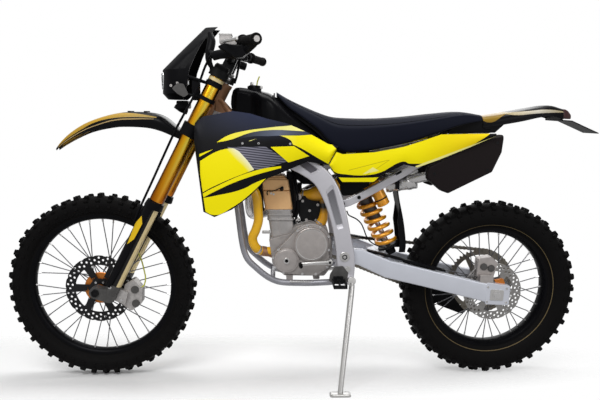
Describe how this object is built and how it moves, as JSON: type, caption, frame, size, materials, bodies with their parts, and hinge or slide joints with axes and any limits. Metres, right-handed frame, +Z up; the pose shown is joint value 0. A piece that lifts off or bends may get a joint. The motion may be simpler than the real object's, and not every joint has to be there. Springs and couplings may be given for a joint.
{
  "type": "enduro motorcycle",
  "caption": "Off-road motorcycle leaning on its side stand: knobbly tyres, twin-spar frame, telescopic fork, single rear shock, chain drive, long seat and yellow bodywork.",
  "frame": {"origin": "middle of the footprint, on the floor", "axes": "+X to the rear, +Y to the rider's right, +Z up"},
  "size_m": [2.1902, 0.8124, 1.2939],
  "materials": {
    "rubber": "matt tread rubber",
    "black_metal": "satin black coated metal",
    "steel": "bare steel, brushed",
    "dark_steel": "oiled steel",
    "gold": "gold anodised aluminium",
    "spring": "gold painted spring steel",
    "silver": "cast aluminium, satin",
    "silver_frame": "welded aluminium, satin silver",
    "engine_metal": "cast aluminium, warm grey",
    "bronze": "coated aluminium, bronze",
    "black_plastic": "matt moulded plastic",
    "black_gloss": "glossy moulded plastic",
    "yellow_plastic": "glossy moulded plastic",
    "yellow_hose": "coloured silicone hose",
    "seat_cover": "grained synthetic cover",
    "lens": "clear lamp glass",
    "red_lens": "red lamp lens"
  },
  "bodies": {
    "frame": {"drive_chain": "dark_steel", "main_frame": "silver_frame", "lower_cradle": "silver_frame", "subframe": "silver_frame", "swingarm": "silver_frame", "crankcase": "engine_metal", "cylinder": "engine_metal", "cylinder_head": "bronze", "left_engine_cover": "engine_metal", "carburettor": "dark_steel", "intake_boot": "yellow_hose", "exhaust_pipe": "steel", "silencer_left": "black_plastic", "silencer_right": "black_plastic", "radiators": "black_metal", "coolant_hose": "yellow_hose", "fuel_tank": "black_gloss", "seat": "seat_cover", "shroud_left": "yellow_plastic", "shroud_right": "yellow_plastic", "side_panel_left": "yellow_plastic", "side_panel_right": "yellow_plastic", "airbox": "black_plastic", "rear_fender": "black_gloss", "tail_lamp": "red_lens", "shock_body": "gold", "shock_spring": "spring", "mud_flap": "black_plastic", "rear_caliper": "silver", "chain_guide": "black_plastic", "footpeg_left": "dark_steel", "footpeg_right": "dark_steel", "gear_lever": "silver", "brake_pedal": "silver"},
    "fork": {"fork_sliders": "steel", "fork_outer_left": "gold", "fork_outer_right": "gold", "fork_guard_left": "black_plastic", "fork_guard_right": "black_plastic", "lower_triple_clamp": "black_metal", "upper_triple_clamp": "black_metal", "handlebar": "black_metal", "front_fender": "black_gloss", "headlamp_mask": "black_gloss", "headlamp": "lens", "front_caliper": "silver"},
    "front_wheel": {"front_tyre": "rubber", "front_laced_wheel": "black_metal", "front_disc": "steel"},
    "rear_wheel": {"rear_tyre": "rubber", "rear_laced_wheel": "black_metal", "rear_disc": "steel", "rear_sprocket": "dark_steel"},
    "side_stand": {"side_stand": "silver"}
  },
  "joints": [
    {"name": "steering_axis", "type": "hinge", "parent": "frame", "child": "fork", "pos_m": [-0.36357, 0.03805, 0.9378], "axis": [0.454, -0.124, 0.8823], "range_deg": [-40, 40]},
    {"name": "front_axle", "type": "hinge", "parent": "fork", "child": "front_wheel", "pos_m": [-0.74586, 0.12083, 0.34882], "axis": [0, 0.9903, 0.1392], "continuous": true},
    {"name": "rear_axle", "type": "hinge", "parent": "frame", "child": "rear_wheel", "pos_m": [0.72214, 0.1225, 0.33693], "axis": [0, 0.9903, 0.1392], "continuous": true},
    {"name": "stand_pivot", "type": "hinge", "parent": "frame", "child": "side_stand", "pos_m": [0.17614, -0.03566, 0.37732], "axis": [0, -0.985, 0.1727], "range_deg": [0, 95]}
  ]
}
